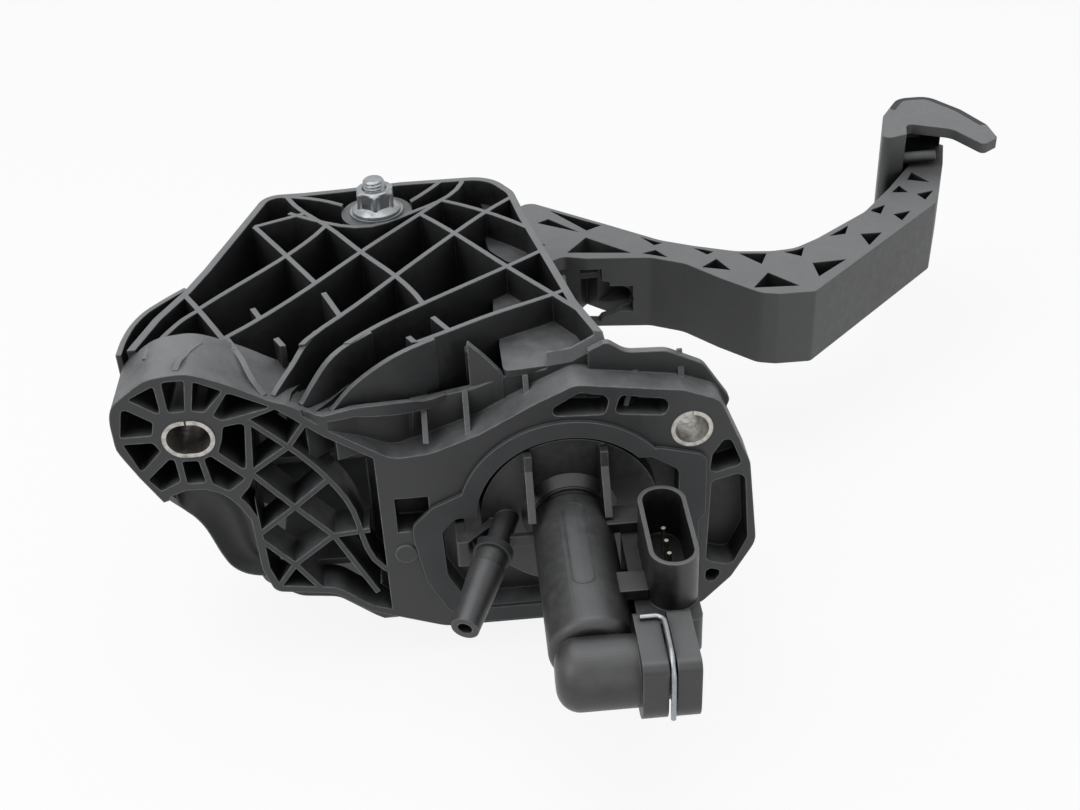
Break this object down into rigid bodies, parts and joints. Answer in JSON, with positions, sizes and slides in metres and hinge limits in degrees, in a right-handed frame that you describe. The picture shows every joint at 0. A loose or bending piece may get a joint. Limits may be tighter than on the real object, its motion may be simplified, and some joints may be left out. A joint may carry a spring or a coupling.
{
  "type": "clutch pedal",
  "caption": "Clutch pedal assembly: ribbed plastic bracket and pedal arm, hydraulic master cylinder with hose nipple and line socket, and pedal position sensor.",
  "frame": {"origin": "where the master cylinder's axis meets the plane of the bulkhead face", "axes": "+X along the bulkhead towards the foot pad, +Y from the bulkhead to the driver, +Z along the pivot bolt towards its nut"},
  "size_m": [0.3468, 0.3299, 0.1315],
  "materials": {
    "bracket_plastic": "glass-filled nylon, moulded, fine grain",
    "pedal_plastic": "glass-filled nylon, moulded, fine grain",
    "cylinder_plastic": "moulded, satin",
    "bush_plastic": "moulded, smooth",
    "zinc_steel": "zinc plated",
    "sleeve_steel": "rolled, bare",
    "spring_steel": "drawn wire",
    "pin_brass": "plated",
    "seal_rubber": "moulded",
    "foam_rubber": "closed cell foam"
  },
  "bodies": {
    "bracket": {"pedal_bracket": "bracket_plastic", "upper_mount_sleeve": "sleeve_steel", "lower_mount_sleeve": "sleeve_steel", "bulkhead_gasket": "foam_rubber", "pivot_bolt": "zinc_steel", "pivot_washer": "zinc_steel", "pivot_nut": "zinc_steel", "pivot_tube": "sleeve_steel", "cylinder_housing": "cylinder_plastic", "cylinder_guide": "cylinder_plastic", "primary_seal": "seal_rubber", "secondary_seal": "seal_rubber", "piston_spring": "spring_steel", "reservoir_nipple": "cylinder_plastic", "nipple_ring": "seal_rubber", "line_socket": "cylinder_plastic", "line_clip": "spring_steel", "port_seal": "seal_rubber", "sensor_housing": "cylinder_plastic", "sensor_pins": "pin_brass", "rest_buffer": "seal_rubber"},
    "pedal": {"pedal_arm": "pedal_plastic", "foot_pad": "seal_rubber", "upper_pivot_bush": "bush_plastic", "lower_pivot_bush": "bush_plastic", "rod_clip": "bush_plastic"},
    "piston_rod": {"piston": "bush_plastic", "sensor_magnet": "spring_steel", "push_rod": "sleeve_steel"}
  },
  "joints": [
    {"name": "pedal_pivot", "type": "hinge", "parent": "bracket", "child": "pedal", "pos_m": [-0.059, 0.113, 0], "axis": [0, 0, 1], "range_deg": [-28.5, 0], "stiffness_Nm_per_rad": 0.4, "springref_deg": 5.73},
    {"name": "rod_slide", "type": "slide", "parent": "bracket", "child": "piston_rod", "axis": [0, 1, 0], "range_m": [-0.0301, 0], "deforming": ["piston_spring"]}
  ],
  "couplings": [
    {"joint": "rod_slide", "follows": "pedal_pivot", "m_per_rad": 0.0603}
  ]
}
